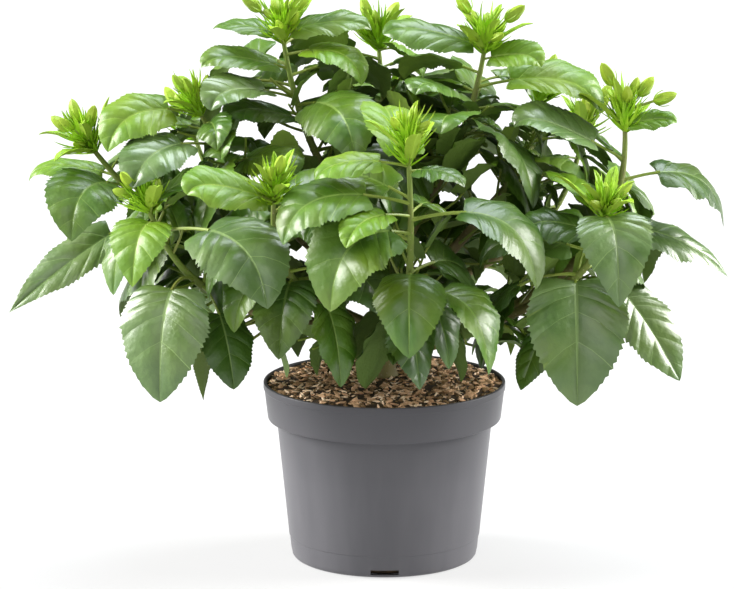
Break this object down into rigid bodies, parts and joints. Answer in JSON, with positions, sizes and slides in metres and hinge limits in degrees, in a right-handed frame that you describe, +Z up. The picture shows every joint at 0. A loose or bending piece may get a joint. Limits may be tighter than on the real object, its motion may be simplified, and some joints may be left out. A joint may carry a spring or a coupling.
{
  "type": "potted hibiscus shrub",
  "caption": "Bushy young flowering shrub in a round nursery pot: a short forked trunk, spreading boughs and a domed crown of toothed leaves with upright buds.",
  "frame": {"origin": "centre of the pot's flat underside", "axes": "+Z up, the plant's front along -Y, its width along X"},
  "size_m": [0.384, 0.278, 0.306],
  "materials": {
    "pot": "satin grey moulded plastic",
    "potting_mix": "rough moist peat and bark crumbs",
    "bark": "rough olive-brown bark",
    "foliage": "glossy leaf"
  },
  "bodies": {
    "root": {"pot": "pot", "potting_mix": "potting_mix", "trunk": "bark", "bough_west": "bark", "bough_east": "bark", "bough_front": "bark", "bough_back": "bark", "bough_upper_west": "bark", "bough_upper_east": "bark", "bough_top_west": "bark", "bough_top_east": "bark", "bough_front_west": "bark", "bough_front_east": "bark", "bough_mid_front": "bark", "bough_back_west": "bark", "bough_back_east": "bark", "bough_top_back": "bark", "foliage_west": "foliage", "foliage_east": "foliage", "foliage_front": "foliage", "foliage_back": "foliage", "foliage_upper_west": "foliage", "foliage_upper_east": "foliage", "foliage_top_west": "foliage", "foliage_top_east": "foliage", "foliage_front_west": "foliage", "foliage_front_east": "foliage", "foliage_mid_front": "foliage", "foliage_back_west": "foliage", "foliage_back_east": "foliage", "foliage_top_back": "foliage"}
  },
  "joints": []
}
